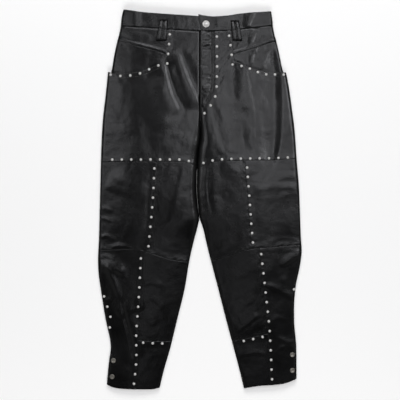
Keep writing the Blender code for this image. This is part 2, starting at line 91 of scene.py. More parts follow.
hem_right = Seam((-237, 954.5), (-219, 961.5), (-193, 965), (-152, 966), (-122, 966), (-102, 962))
hem_left = Seam((112, 964), (128, 961), (153, 957), (184, 955), (214, 951.5), (246, 940))


class Finish:
    """A material, and the steps that build up its surface."""

    def __init__(self, name):
        self.material = bpy.data.materials.new(name)
        self.material.use_nodes = True
        self.nodes, self.links = self.material.node_tree.nodes, self.material.node_tree.links
        self.surface = self.nodes["Principled BSDF"].inputs
        self.where = self.nodes.new("ShaderNodeTexCoord").outputs["Object"]

    def pattern(self, kind, output, **settings):
        """A texture that stays fixed to the piece."""
        made = self.nodes.new(kind)
        for socket, number in settings.items():
            made.inputs[socket].default_value = number
        self.links.new(self.where, made.inputs["Vector"])
        return made.outputs[output]

    def spread_over(self, value, low, high, low_out, high_out):
        """A value between low and high, stretched to lie between two others."""
        made = self.nodes.new("ShaderNodeMapRange")
        ends = {"From Min": low, "From Max": high, "To Min": low_out, "To Max": high_out}
        for socket, number in ends.items():
            made.inputs[socket].default_value = number
        self.links.new(value, made.inputs["Value"])
        return made.outputs["Result"]

    def mix(self, share, first, second):
        """One colour that runs into another. The first may itself be mixed."""
        made = self.nodes.new("ShaderNodeMix")
        made.data_type = "RGBA"
        if isinstance(first, tuple):
            made.inputs["A"].default_value = (*first, 1)
        else:
            self.links.new(first, made.inputs["A"])
        made.inputs["B"].default_value = (*second, 1)
        self.links.new(share, made.inputs["Factor"])
        return made.outputs["Result"]

    def bump(self, value, distance, strength, over=None):
        """Fine relief, over any relief that is already there."""
        made = self.nodes.new("ShaderNodeBump")
        made.inputs["Distance"].default_value = distance
        made.inputs["Strength"].default_value = strength
        self.links.new(value, made.inputs["Height"])
        if over:
            self.links.new(over, made.inputs["Normal"])
        return made.outputs["Normal"]

    def give(self, socket, value):
        self.links.new(value, self.surface[socket])


def leather(name, tone, dullness):
    """Smooth dyed nappa: a fine pebbled grain, soft crinkles, and paler, duller rubbed patches and edges."""
    hide = Finish(name)
    hide.surface["Coat Weight"].default_value = 0.12
    hide.surface["Coat Roughness"].default_value = 0.22
    patches = hide.pattern("ShaderNodeTexNoise", "Fac", Scale=14.0, Detail=4.0, Roughness=0.6)
    crinkle = hide.pattern("ShaderNodeTexNoise", "Fac", Scale=130.0, Detail=3.0)
    pores = hide.pattern("ShaderNodeTexNoise", "Fac", Scale=2600.0, Detail=2.0)
    pebbles = hide.pattern("ShaderNodeTexVoronoi", "Distance", Scale=950.0)
    edges = hide.nodes.new("ShaderNodeNewGeometry").outputs["Pointiness"]
    deep, dyed = (0.55 * tone, 0.55 * tone, 0.58 * tone), (1.5 * tone, 1.5 * tone, 1.6 * tone)
    rubbed = (3.2 * tone, 3.2 * tone, 3.3 * tone)
    mottled = hide.mix(hide.spread_over(patches, 0.35, 0.68, 0.0, 1.0), deep, dyed)
    hide.give("Base Color", hide.mix(hide.spread_over(edges, 0.53, 0.62, 0.0, 0.7), mottled, rubbed))
    hide.give("Roughness", hide.spread_over(patches, 0.3, 0.7, dullness - 0.03, dullness + 0.06))
    relief = hide.bump(crinkle, 0.0011, 0.15)
    relief = hide.bump(pebbles, 0.0001, 0.2, relief)
    hide.give("Normal", hide.bump(pores, 0.00005, 0.12, relief))
    return hide.material


nappa = leather("black_nappa", tone=0.0015, dullness=0.23)

# how far in from each kind of edge the points of a panel stand, before they are spread evenly
edge_points = {
    "sewn": (0, 0.4, 1.1, 2.2, 4, 6.5, 9.5, 13), "tucked": (0, 4, 5.6, 6.4, 7.6, 10, 13), "join": (0,),
    "turned": (0, 0.35, 1.0, 2.0, 3.6, 6, 9), "cut": (0, 0.4, 1.1, 2.2, 4, 7)}
back_cell = 22.0


def steps(start_kind, end_kind, width, cell, count=0):
    """Where points stand between two edges of a panel, as a fixed distance and a share of the width."""
    start, end = edge_points[start_kind], edge_points[end_kind]
    count = count or max(3, round((width - start[-1] - end[-1]) / cell))
    inner = [(start[-1] * (1 - i / count) - end[-1] * i / count, i / count) for i in range(count + 1)]
    places = [(s, 0.0) for s in start[:-1]] + inner + [(-s, 1.0) for s in reversed(end[:-1])]
    return np.array(places).T


def lay_grid(cell, top, bottom, left, right, kinds, rows=0, across=0):
    """x and down of a grid of points between four sewing lines. Their kinds come in the same order."""
    top_kind, bottom_kind, left_kind, right_kind = kinds.split()
    mid_down, mid_x = 400.0, 0.0
    for _ in range(8):
        mid_x = (left(mid_down) + right(mid_down)) / 2
        mid_down = (top(mid_x) + bottom(mid_x)) / 2
    fixed_x, share_x = steps(left_kind, right_kind, right(mid_down) - left(mid_down), cell, across)
    fixed_d, share_d = steps(top_kind, bottom_kind, bottom(mid_x) - top(mid_x), cell, rows)
    down = np.full((len(fixed_d), len(fixed_x)), float(mid_down))
    for _ in range(30):
        start = left(down)
        x = start + fixed_x + share_x * (right(down) - start)
        start = top(x)
        down = start + fixed_d[:, None] + share_d[:, None] * (bottom(x) - start)
    return x, down


def make_piece(name, points, faces, finish):
    """One mesh of the garment, in metres, on its only body."""
    mesh = bpy.data.meshes.new(name)
    mesh.from_pydata(points, [], faces)
    mesh.materials.append(finish)
    mesh.shade_smooth()
    piece = bpy.data.objects.new(name, mesh)
    bpy.context.scene.collection.objects.link(piece)
    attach(piece, "root")
    return piece


def make_sheet(name, node, grids, thickness):
    """Sews grids of points into one sheet and gives it the thickness of the hide, downwards."""
    points, faces, area = [], [], 0.0
    for x, down, z in grids:
        first = len(points)
        rows, across = x.shape
        places = np.stack([x, body_length / 2 - down, z], -1) * mm
        points += [tuple(p) for p in places.reshape(-1, 3)]
        i = first + np.arange(rows * across).reshape(rows, across)
        faces += np.stack([i[1:, :-1], i[1:, 1:], i[:-1, 1:], i[:-1, :-1]], -1).reshape(-1, 4).tolist()
        over, along = places[:, 1:] - places[:, :-1], places[1:] - places[:-1]
        area += np.linalg.norm(np.cross(over[:-1], along[:, :-1]), axis=-1).sum()
    piece = make_piece(name, points, faces, nappa)
    join = piece.modifiers.new("seamless", "WELD")
    join.merge_threshold = 0.02 * mm
    wall = piece.modifiers.new("hide", "SOLIDIFY")
    wall.thickness = thickness * mm
    wall.offset = -1
    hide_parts(node)


def lay_back(name, node, top, bottom, left, right, thickness=1.5):
    x, down = lay_grid(back_cell, top, bottom, left, right, "cut cut cut cut")
    off_table = 0.05
    make_sheet(name, node, [(x, down, np.full_like(x, thickness))], thickness - off_table)


# the backs stay this far inside the outline of the fronts, and meet each other beside the middle
inset = 1.5
seat_seam_right, seat_seam_left = -6.5, -6.1
hip_end_right, hip_end_left = 281, 250
lay_back(
    "back_leg_right", "back_R", moved(waist_seam, inset), moved(hem_right, -inset),
    lambda down: np.where(down < hip_end_right, back_right(down), outseam_right(down) + inset),
    lambda down: np.where(down < crotch, seat_seam_right, inseam_right(down) - inset))
lay_back(
    "back_leg_left", "back_L", moved(waist_seam, inset), moved(hem_left, -inset),
    lambda down: np.where(down < crotch, seat_seam_left, inseam_left(down) + inset),
    lambda down: np.where(down < hip_end_left, back_left(down), outseam_left(down) - inset))

# The hip fronts. One piece of the same hide, 1.2 mm thick, on each side from the waistband down to the thigh
# seam, folded back and stitched along the pocket mouth and beside the yoke. The left one laps over the right
# at the fly, where its facing shows as a strip behind a double row of stitching.

hide_thickness = 1.2
turning = 6
front_cell = 3.3
side_right = Seam((0, -194.5), (20, -199), (44, -201.5), (97, -214), (128, -220), (164, -225))
side_left = Seam((5, 181.5), (27, 184.5), (44, 186), (97, 198.5), (128, 205), (160, 211))
side_end_right, side_end_left = 161, 158
middle = Seam((0, -5.2), (25, -3), (55, 2.0), (257, 2.2), (306, 2.2), (332, 1.0), (357, -3.5), (404, -7.0))
mouth_right = Seam((-234, 160.5), (-200, 163.5), (-158, 159.5), (-87, 132))
mouth_left = Seam((88, 132), (150, 154.5), (190, 160), (219, 160.5))
strip_right = Seam((50, -81), (90, -83.3), (114, -85), (139, -88))
strip_left = Seam((50, 79), (91, 82.5), (115, 84.8), (141, 88))
thigh_seam_right = Seam((-251, 388), (-60, 388), (-42, 389.3), (-24, 393), (-8, 400))
thigh_seam_left = Seam((-6, 404), (11, 397), (36, 389), (60, 387), (105, 385), (198, 383), (246, 380))
strip_end, crinkle_end, ruck_end, fly_end = 140, 230, 236, 252
fly_stitching = Seam(
    (54, 30.2), (179, 30.7), (199, 29.2), (217, 24.6), (234, 17), (246, 8.5), (258, -1.4), (404, -9.0))

# the height of the leather at the sides and along the crown of each leg, and how much of it the middle loses
side_height = Seam((0, 3.2), (50, 3.0), (90, 2.6), (966, 2.6))
crest_height = Seam(
    (0, 10), (50, 10.5), (100, 12), (160, 13.5), (280, 15), (390, 16), (500, 15.5), (610, 14.5), (700, 13),
    (850, 11), (966, 9.5))
crest_right = Seam(
    (0, -165), (60, -150), (140, -140), (400, -138), (500, -134), (620, -145), (760, -152), (966, -165))
crest_left = Seam(
    (0, 30), (60, 20), (140, 15), (300, 25), (380, 80), (470, 150), (620, 148), (760, 160), (966, 176))
middle_loss = Seam((0, 0.15), (120, 0.45), (220, 0.55), (257, 0.6), (330, 0.8), (404, 1.0), (450, 1.0))
side_turn, side_turn_width = 4.2, 7.0


def ease(t):
    t = np.clip(t, 0.0, 1.0)
    return t * t * (3 - 2 * t)


def turned_edge(distance, width, rise):
    short = 1 - np.clip(distance / width, 0.0, 1.0)
    return rise * np.sqrt(1 - short * short)


def spaced(places, count):
    """Points at even steps along a smooth curve through x and down places."""
    spots = np.array(places, float)
    runs = np.concatenate([[0.0], np.cumsum(np.linalg.norm(np.diff(spots, axis=0), axis=1))])
    at = np.linspace(0, runs[-1], count)
    return np.stack([Seam(*zip(runs, spots[:, 0]))(at), Seam(*zip(runs, spots[:, 1]))(at)], -1)


creases = []


def crease(width, height, *places, lean=0.0):
    """A soft ridge along a curve through places, or a trough where the height is negative."""
    creases.append((width, height, lean, spaced(places, 26)))


def crease_height(x, down):
    """All creases together. Each fades out towards its ends, and its lean widens it on one side."""
    total = np.zeros_like(x)
    for width, height, lean, line in creases:
        low, high = line.min(0) - 1.6 * width, line.max(0) + 1.6 * width
        near = (x > low[0]) & (x < high[0]) & (down > low[1]) & (down < high[1])
        if not near.any():
            continue
        spot = np.stack([x[near], down[near]], -1)
        best, along, side = np.full(len(spot), 1e9), np.zeros(len(spot)), np.zeros(len(spot))
        for i in range(len(line) - 1):
            run = line[i + 1] - line[i]
            away = spot - line[i]
            t = np.clip(away @ run / (run @ run), 0, 1)
            gap = np.linalg.norm(away - t[:, None] * run, axis=1)
            closer = gap < best
            best = np.where(closer, gap, best)
            along = np.where(closer, (i + t) / (len(line) - 1), along)
            side = np.where(closer, np.sign(run[0] * away[:, 1] - run[1] * away[:, 0]), side)
        full = 1 - (2 * along - 1) ** 2
        reach = np.clip(best / (width * (1 + lean * side) * (0.5 + 0.5 * full)), 0, 1)
        total[near] += height * (1 - reach**2) ** 2 * ease(1.6 * full)
    return total


def wander(x, down, size, seed):
    """Smooth unevenness between about -1 and 1, with lumps of the given size."""
    lumps = [noise.noise(Vector((a / size, b / size, seed))) for a, b in zip(x.ravel(), down.ravel())]
    return np.array(lumps).reshape(x.shape)


def lie(x, down):
    """Height of the leather: turned down at the sides, crowned along each leg, and creased."""
    inner_right = np.where(down < crotch, middle(down), inseam_right(down))
    inner_left = np.where(down < crotch, middle(down), inseam_left(down))
    on_right = x < (inner_right + inner_left) / 2
    outer = np.where(
        on_right, np.where(down < side_end_right, side_right(down), outseam_right(down)),
        np.where(down < side_end_left, side_left(down), outseam_left(down)))
    inner = np.where(on_right, inner_right, inner_left)
    crest = np.where(on_right, crest_right(down), crest_left(down))
    low, high = side_height(down), crest_height(down)
    from_outer, from_inner = np.abs(x - outer), np.abs(x - inner)
    swell_out = np.sin(np.pi / 2 * np.clip(from_outer / np.abs(outer - crest), 0, 1))
    swell_in = np.sin(np.pi / 2 * np.clip(from_inner / np.abs(inner - crest), 0, 1))
    outside = low + turned_edge(from_outer, side_turn_width, side_turn) + (high - low - side_turn) * swell_out
    lost = (high - low) * np.minimum(middle_loss(down), 1.0)
    lost = np.where(on_right, lost, lost * ease((down - 200) / 120))
    between = ease((down - 250) / 90) * ease((600 - down) / 90)
    turn = np.minimum(side_turn + 6.5 * between, 0.75 * lost)
    inside = high - lost + turned_edge(from_inner, 6.0 + 16.0 * between, turn) + (lost - turn) * swell_in
    level = np.where((x - crest) * (outer - crest) > 0, outside, inside)
    near_edge = np.where(down < crotch, from_outer, np.minimum(from_outer, from_inner))
    slack = 0.8 * wander(x, down, 90, 5.5) + 0.35 * wander(x, down, 34, 3.1) + 0.18 * wander(x, down, 13, 7.7)
    return level + (crease_height(x, down) + slack) * ease(near_edge / 12)


def lapped(distance):
    """Relief of a folded edge on top of its neighbour, by distance in from that edge."""
    return 0.5 * (1 - ease((distance - 2) / 16)) - 0.5 * (1 - np.clip(distance / 1.3, 0, 1)) ** 2


def tucked(distance, slope=2.2):
    """Relief of an edge whose turning passes under its neighbour, out of sight."""
    return -0.9 * (1 - ease((distance - 4.4) / slope))


def pucker(x, down, distance):
    """Gathers that the stitches pull into the leather beside a seam."""
    return 0.55 * wander(x, down, 5.5, 11.3) * np.exp(-np.abs(distance) / 9)


panels = {}


def sew_panel(name, node, stretches, relief, thickness=hide_thickness):
    """One cut piece on the garment's form, from one or more stretches between four lines each."""

    def top_of(x, down):
        x, down = np.asarray(x, float), np.asarray(down, float)
        return lie(x, down) + relief(x, down)

    grids = []
    for stretch in stretches:
        x, down = lay_grid(front_cell, *stretch)
        grids.append((x, down, top_of(x, down)))
    make_sheet(name, node, grids, thickness)
    panels[name] = top_of


# creases of the right hip, then of the left: width, height, and places along each
crease(41, -0.4, (-153, 79), (-143, 194), (-132, 283), (-127, 385), lean=-0.2)
crease(32, 1.7, (-99, 118), (-89, 176), (-76, 225), (-51, 271), lean=0.5)
crease(22, -1.15, (-84, 133), (-74, 179), (-58, 225), (-33, 265), lean=-0.35)
crease(30, 1.9, (-63, 97), (-41, 166), (-20, 214), (0, 255), lean=0.5)
crease(20, -1.2, (-51, 102), (-25, 166), (-5, 212), (13, 245), lean=-0.35)
crease(62, 1.8, (-117, 169), (-102, 240), (-81, 311))
crease(36, 0.3, (-107, 225), (-94, 296), (-86, 367), lean=0.4)
crease(17, 0.35, (-267, 324), (-232, 311), (-199, 306), (-158, 314))
crease(14, 0.4, (-102, 334), (-71, 319), (-41, 319))
crease(8, 0.2, (-234, 184), (-201, 179), (-168, 184), lean=-0.3)
crease(20, 0.6, (-214, 171), (-201, 212), (-209, 245), lean=-0.2)
crease(13, 0.5, (-260, 243), (-229, 258), (-206, 286), lean=-0.25)
crease(7, 0.2, (-247, 288), (-216, 288), (-181, 283), lean=-0.56)
crease(14, 0.6, (-255, 212), (-250, 243), (-252, 278))
crease(22, -0.6, (79, 128), (82, 179), (87, 235))
crease(27, 1.4, (110, 123), (118, 199), (128, 281), (133, 367), lean=0.35)
crease(11, 0.2, (133, 184), (153, 179), (179, 181), lean=-0.1)
crease(32, -1.2, (115, 245), (115, 311), (110, 378), lean=-0.2)
crease(16, -0.3, (23, 227), (44, 296), (69, 375), lean=-0.3)
crease(28, -0.5, (92, 271), (100, 345), (100, 418))
crease(24, 0.3, (3, 265), (16, 316), (36, 383), lean=0.2)
crease(40, -3, (184, 77), (186, 202), (186, 306), (176, 418), lean=0.3)
crease(29, 0.2, (163, 214), (169, 278), (169, 362), lean=0.5)
crease(54, 0.2, (51, 225), (97, 220), (153, 235))


def hip_relief(x, down, mouth_line, strip_line, foot_line, side):
    """Folded edges, puckers and a gaping pocket mouth. side is +1 on the right leg and -1 on the left."""
    mouth, strip = down - mouth_line(x), side * (x - strip_line(down))
    foot, band = foot_line(x) - down, down - waist_seam(x) + turning
    beside_yoke, outside_strip = ease((strip_end - down) / 6), ease((2 - strip) / 8)
    folded = lapped(mouth) * outside_strip + lapped(strip) * beside_yoke + lapped(foot) + tucked(band, 5.5)
    gaping = 0.5 * (1 - ease((mouth - 2) / 40)) * ease((-side * x - 96) / 30)
    puckers = pucker(x, down, foot) + pucker(x, down, mouth) * outside_strip
    return folded + gaping + puckers


def hip_right_relief(x, down):
    strip, to_fly = x - strip_right(down), middle(down) - x
    gathers = pucker(x, down, strip) * ease((strip_end - down) / 6)
    gutter = -2.2 * (1 - ease(to_fly / 5))
    common = hip_relief(x, down, mouth_right, strip_right, thigh_seam_right, 1)
    return common + gutter + tucked(to_fly + turning) + gathers


def hip_left_relief(x, down):
    from_edge, facing, to_strip = x - middle(down), fly_stitching(down) - x, strip_left(down) - x
    edge = lapped(from_edge) * ease((facing + from_edge - 3) / 10)
    swollen = (0.04 * np.clip(facing, 0, 30) + 0.4) * (facing > -9) * ease((facing + 9) / 9)
    grooves = 0.95 * np.exp(-(facing / 1.2) ** 2) + 0.95 * np.exp(-((facing + 5.6) / 1.2) ** 2)
    rucks = 1.3 * wander(x / 4.5, down + 0.12 * x, 5.2, 4.4) * ease((facing - 1) / 6) * ease(from_edge / 5)
    crinkle = 0.45 * wander((x + down) * 0.9, (x - down) * 0.3, 6.5, 8.8)
    crinkle = crinkle * ease(-facing / 8) * ease(to_strip / 8)
    fly_strip = (swollen - grooves) * ease((fly_end - down) / 8) + rucks * ease((ruck_end - down) / 20)
    common = hip_relief(x, down, mouth_left, strip_left, thigh_seam_left, -1)
    return common + edge + fly_strip + crinkle * ease((crinkle_end - down) / 60)


under_fly = moved(middle, turning)
under_band = moved(waist_seam, -turning)
sew_panel(
    "hip_front_right", "front_R", [
        (mouth_right, thigh_seam_right, outseam_right, strip_right, "sewn sewn turned join", 66, 40),
        (mouth_right, thigh_seam_right, strip_right, under_fly, "sewn sewn sewn tucked", 66, 22),
        (under_band, mouth_right, strip_right, under_fly, "tucked join sewn tucked", 22, 22),
    ], hip_right_relief)
sew_panel(
    "hip_front_left", "front_L", [
        (mouth_left, thigh_seam_left, strip_left, outseam_left, "sewn sewn join turned", 90, 40),
        (mouth_left, thigh_seam_left, middle, strip_left, "sewn sewn sewn sewn", 90, 110),
        (under_band, mouth_left, middle, strip_left, "tucked join sewn sewn", 34, 110),
    ], hip_left_relief)

# The pocket facings and yokes. The facing is the leather that shows behind each open pocket mouth, and the
# yoke above it meets it in a slanting lapped seam. Both run under the edge of the hip front.

yoke_seam_right = Seam((-206, 80), (-166, 92), (-127, 102), (-85, 115))
yoke_seam_left = Seam((85, 115), (128, 102), (158, 92), (193, 81))
facing_depth = 9
under_strip_right, under_strip_left = moved(strip_right, turning), moved(strip_left, -turning)

crease(10, 1.3, (153, 46), (138, 67), (128, 95), lean=0.4)
crease(7, 0.6, (163, 67), (153, 79), (143, 87))
crease(8, 1.1, (148, 95), (135, 118), (130, 143), lean=0.45)
crease(9, -0.4, (125, 102), (143, 120), (163, 130))
crease(12, 1, (181, 100), (171, 123), (158, 151), lean=0.4)
crease(12, -0.4, (166, 87), (179, 118), (184, 151), lean=-0.3)
crease(6, 0.8, (105, 77), (97, 100), lean=0.4)
crease(18, 0.5, (-194, 61), (-158, 69), (-117, 77))
crease(11, 0.5, (-74, 72), (-48, 67), (-23, 77), lean=-0.3)


def facing_relief(seam, strip, mouth, side):
    def relief(x, down):
        above, below = down - seam(x), mouth(x) + facing_depth - down
        beside = side * (strip(down) - x)
        sunk = 0.9 * (1 - ease((below - turning) / 10))
        return tucked(above + turning) + tucked(beside + turning) - sunk + pucker(x, down, above)

    return relief


def yoke_relief(seam, strip, side):
    def relief(x, down):
        foot, band, beside = seam(x) - down, down - waist_seam(x), side * (strip(down) - x)
        swollen = 0.5 * np.exp(-((foot - 5) / 2.2) ** 2)
        folded = lapped(foot) + swollen + tucked(band + turning, 5.5) + tucked(beside + turning)
        return folded + pucker(x, down, foot)

    return relief


sew_panel(
    "pocket_facing_right", "pocket_facing_R",
    [(moved(yoke_seam_right, -turning), moved(mouth_right, facing_depth), side_right, under_strip_right,
      "tucked tucked turned tucked")],
    facing_relief(yoke_seam_right, strip_right, mouth_right, 1))
sew_panel(
    "pocket_facing_left", "pocket_facing_L",
    [(moved(yoke_seam_left, -turning), moved(mouth_left, facing_depth), under_strip_left, side_left,
      "tucked tucked tucked turned")],
    facing_relief(yoke_seam_left, strip_left, mouth_left, -1))
sew_panel(
    "yoke_right", "yoke_R",
    [(under_band, yoke_seam_right, side_right, under_strip_right, "tucked sewn turned tucked")],
    yoke_relief(yoke_seam_right, strip_right, 1))
sew_panel(
    "yoke_left", "yoke_L",
    [(under_band, yoke_seam_left, under_strip_left, side_left, "tucked sewn tucked turned")],
    yoke_relief(yoke_seam_left, strip_left, -1))

# The thighs. Two pieces to each leg, between the thigh seam and the bowed knee seam. The outer one laps
# over the inner one along a studded seam, and both lap over the shins at the knee.

mid_thigh_right = Seam((388, -110), (429, -111), (479, -114), (528, -117.7), (578, -123.5), (612, -126))
mid_thigh_left = Seam((385, 114), (427, 116), (475, 120.2), (524, 123.5), (570, 127), (609, 130))
knee_seam_right = Seam((-258, 613), (-165, 609.5), (-115, 623), (-70, 637), (-24, 643))
knee_seam_left = Seam((24, 641), (59, 633), (102, 616), (128, 610), (158, 607), (259, 599))

crease(38, 1.2, (-245, 444), (-191, 457), (-132, 469), lean=-0.4)
crease(26, 0.6, (-234, 418), (-204, 429), (-163, 447), lean=-0.2)
crease(8, 0.6, (-260, 508), (-242, 505), (-219, 515), lean=0.24)
crease(6, 0.9, (-262, 533), (-245, 531), (-224, 541), lean=0.17)
crease(7, 1.1, (-257, 584), (-239, 577), (-214, 589), lean=-0.4)
crease(8, 0.6, (-227, 607), (-201, 602), (-173, 607), lean=-0.5)
crease(46, 1.1, (-5, 385), (-25, 482), (-46, 579), lean=0.3)
crease(14, 0.4, (-41, 393), (-56, 467), (-81, 561), lean=-0.2)
crease(9, 0.8, (-2, 388), (-7, 434), (3, 495))
crease(7, 0.6, (18, 390), (13, 452), (23, 523), lean=-0.34)
crease(6, 0.8, (-10, 464), (0, 495), (8, 528), lean=-0.26)
crease(19, 0.9, (33, 375), (31, 452), (44, 533), lean=-0.4)
crease(13, 0.3, (133, 462), (186, 454), (248, 452), lean=-0.3)
crease(9, 0.15, (148, 482), (197, 477), (240, 469))
crease(15, 0.3, (194, 434), (220, 426), (253, 429), lean=-0.3)
crease(7, 0.2, (169, 592), (212, 584), (253, 589), lean=-0.7)
crease(14, 0.2, (163, 612), (209, 615), (253, 610), lean=-0.7)
crease(22, -0.8, (87, 515), (92, 559), (95, 602), lean=0.3)
crease(19, 0.2, (148, 528), (192, 541), (245, 536), lean=-0.24)
crease(13, -0.6, (-122, 403), (-127, 485), (-135, 571), lean=0.2)


def upright_seam(line, side, on_top):
    """Distance in from an upright seam and the relief there. side is +1 for the piece on its left."""

    def beside(x, down):
        inward = side * (line(down) - x)
        folded = lapped(inward) if on_top else tucked(inward + turning)
        return inward, folded

    return beside


def thigh_relief(head, seam, side, on_top, knee):
    beside = upright_seam(seam, side, on_top)

    def relief(x, down):
        inward, folded = beside(x, down)
        above, foot = down - head(x), knee(x) - down
        puckers = pucker(x, down, foot) + pucker(x, down, inward)
        return tucked(above + turning) + lapped(foot) + folded + puckers

    return relief


under_hip_right, under_hip_left = moved(thigh_seam_right, -turning), moved(thigh_seam_left, -turning)
sew_panel(
    "thigh_outer_right", "thigh_outer_R",
    [(under_hip_right, knee_seam_right, outseam_right, mid_thigh_right, "tucked sewn turned sewn")],
    thigh_relief(thigh_seam_right, mid_thigh_right, 1, True, knee_seam_right))
sew_panel(
    "thigh_inner_right", "thigh_inner_R",
    [(under_hip_right, knee_seam_right, moved(mid_thigh_right, -turning), inseam_right,
      "tucked sewn tucked turned")],
    thigh_relief(thigh_seam_right, mid_thigh_right, -1, False, knee_seam_right))
sew_panel(
    "thigh_inner_left", "thigh_inner_L",
    [(under_hip_left, knee_seam_left, inseam_left, moved(mid_thigh_left, turning),
      "tucked sewn turned tucked")],
    thigh_relief(thigh_seam_left, mid_thigh_left, 1, False, knee_seam_left))
sew_panel(
    "thigh_outer_left", "thigh_outer_L",
    [(under_hip_left, knee_seam_left, mid_thigh_left, outseam_left, "tucked sewn sewn turned")],
    thigh_relief(thigh_seam_left, mid_thigh_left, -1, True, knee_seam_left))

# The shins. The outer piece runs from the knee to the hem and closes at the ankle with two snaps. It laps
# over a shorter inner piece and the ankle piece, which is stitched and studded on below that one.

shin_seam_right = Seam(
    (615, -144), (682, -146.7), (733, -150), (784, -154.6), (835, -157), (883, -156.2), (962, -163))
shin_seam_left = Seam((605, 149.5), (671, 156.4), (769, 167.1), (818, 172.2), (914, 176.6), (955, 179))
ankle_seam_right = Seam((-158, 841), (-119, 843), (-70, 844))
ankle_seam_left = Seam((80, 844), (111, 837.5), (135, 832.5), (173, 824))

crease(26, 2.6, (-267, 663), (-245, 653), (-216, 656), (-191, 676), lean=-0.1)
crease(10, 0.7, (-262, 635), (-239, 628), (-211, 635), lean=-0.1)
crease(11, 2.4, (-237, 643), (-232, 666), (-219, 696), (-204, 737), lean=-0.4)
crease(28, -0.9, (-252, 668), (-242, 699), (-232, 740), lean=0.4)
crease(11, 0.9, (-227, 663), (-204, 668), (-186, 686), lean=-0.5)
crease(34, 1.6, (-209, 786), (-178, 763), (-137, 755), lean=-0.6)
crease(7, -1.9, (-201, 732), (-188, 788), (-176, 837), (-165, 893))
crease(24, 1.2, (-183, 735), (-171, 788), (-158, 837), (-148, 888), lean=0.3)
crease(13, 0.5, (-150, 702), (-122, 694), (-94, 707), lean=-0.3)
crease(11, 0.5, (-132, 730), (-109, 742), (-94, 765), lean=-0.3)
crease(22, 0.4, (-150, 773), (-130, 783), (-114, 806), lean=-0.2)
crease(11, 0.8, (-232, 801), (-232, 839), (-237, 883), lean=0.098)
crease(13, -0.5, (-206, 821), (-206, 862), (-214, 903), lean=0.2)
crease(15, 1.7, (204, 656), (232, 638), (265, 617), lean=-0.6)
crease(6, 0.4, (220, 610), (245, 615), (260, 605), lean=-0.38)
crease(15, -0.8, (197, 605), (204, 643), (212, 689), lean=-0.47)
crease(12, 1, (163, 699), (202, 717), (250, 745), lean=-0.65)
crease(11, 0.4, (179, 796), (199, 786), (225, 793), lean=-0.4)
crease(9, 0.7, (197, 832), (225, 849), (255, 837), lean=-0.5)
crease(6, 0.5, (197, 867), (222, 857), (253, 867), lean=-0.6)
crease(9, 0.9, (100, 885), (135, 875), (176, 880), lean=-0.72)
crease(18, 0.8, (90, 824), (118, 801), (151, 775), lean=-0.6)
crease(46, 0.7, (59, 832), (112, 809), (166, 793), lean=-0.4)
crease(17, 0.4, (92, 735), (118, 747), (143, 732), lean=-0.3)
crease(30, 0.4, (82, 686), (118, 663), (158, 653), lean=-0.3)


def shin_relief(head, seam, side, on_top, ankle=None):
    beside = upright_seam(seam, side, on_top)

    def relief(x, down):
        inward, folded = beside(x, down)
        under_ankle = tucked(ankle(x) + turning - down) if ankle else 0.0
        return tucked(down - head(x) + turning) + folded + under_ankle + pucker(x, down, inward)

    return relief


def ankle_relief(head, seam, side):
    beside = upright_seam(seam, side, on_top=False)

    def relief(x, down):
        above = down - head(x)
        return lapped(above) + beside(x, down)[1] + pucker(x, down, above)

    return relief


under_knee_right, under_knee_left = moved(knee_seam_right, -turning), moved(knee_seam_left, -turning)
under_shin_right, under_shin_left = moved(shin_seam_right, -turning), moved(shin_seam_left, turning)
sew_panel(
    "shin_outer_right", "shin_outer_R",
    [(under_knee_right, hem_right, outseam_right, shin_seam_right, "tucked cut turned sewn")],
    shin_relief(knee_seam_right, shin_seam_right, 1, True))
sew_panel(
    "shin_inner_right", "shin_inner_R",
    [(under_knee_right, moved(ankle_seam_right, turning), under_shin_right, inseam_right,
      "tucked tucked tucked turned")],
    shin_relief(knee_seam_right, shin_seam_right, -1, False, ankle_seam_right))
sew_panel(
    "ankle_right", "ankle_R",
    [(ankle_seam_right, hem_right, under_shin_right, inseam_right, "sewn cut tucked turned")],
    ankle_relief(ankle_seam_right, shin_seam_right, -1))
sew_panel(
    "shin_inner_left", "shin_inner_L",
    [(under_knee_left, moved(ankle_seam_left, turning), inseam_left, under_shin_left,
      "tucked tucked turned tucked")],
    shin_relief(knee_seam_left, shin_seam_left, 1, False, ankle_seam_left))
sew_panel(
    "ankle_left", "ankle_L",
    [(ankle_seam_left, hem_left, inseam_left, under_shin_left, "sewn cut turned tucked")],
    ankle_relief(ankle_seam_left, shin_seam_left, 1))
sew_panel(
    "shin_outer_left", "shin_outer_L",
    [(under_knee_left, hem_left, shin_seam_left, outseam_left, "tucked cut sewn turned")],
    shin_relief(knee_seam_left, shin_seam_left, -1, True))

# The waistband. A doubled strip 44 mm deep, in a right and a left front and a back. It is sewn over the top
# of the fronts and yokes, and its left end laps over the right one and carries the button.

doubled_hide = 2.0
waist_top_right = Seam((-195, 0), (-158, 6), (-110, 10.5), (-40, 15), (-5, 17.5))
waist_top_left = Seam((-5, 13), (16, 17), (36, 18.5), (67, 16.5), (112, 10), (182, 5))

crease(26, 1.6, (-168, -5), (-165, 21), (-163, 54), lean=0.25)
crease(14, 0.25, (-127, 5), (-122, 26), (-120, 49))
crease(16, 1.7, (141, -2), (130, 21), (120, 51), lean=0.35)
crease(18, 1, (194, -5), (189, 21), (184, 49))
crease(10, 0.2, (102, 5), (97, 28), (95, 51))
crease(7, 0.2, (-61, 16), (-56, 33), (-58, 51))
crease(7, 0.2, (-33, 18), (-30, 36), (-33, 51))
crease(9, 0.25, (41, 16), (46, 33), (49, 51))


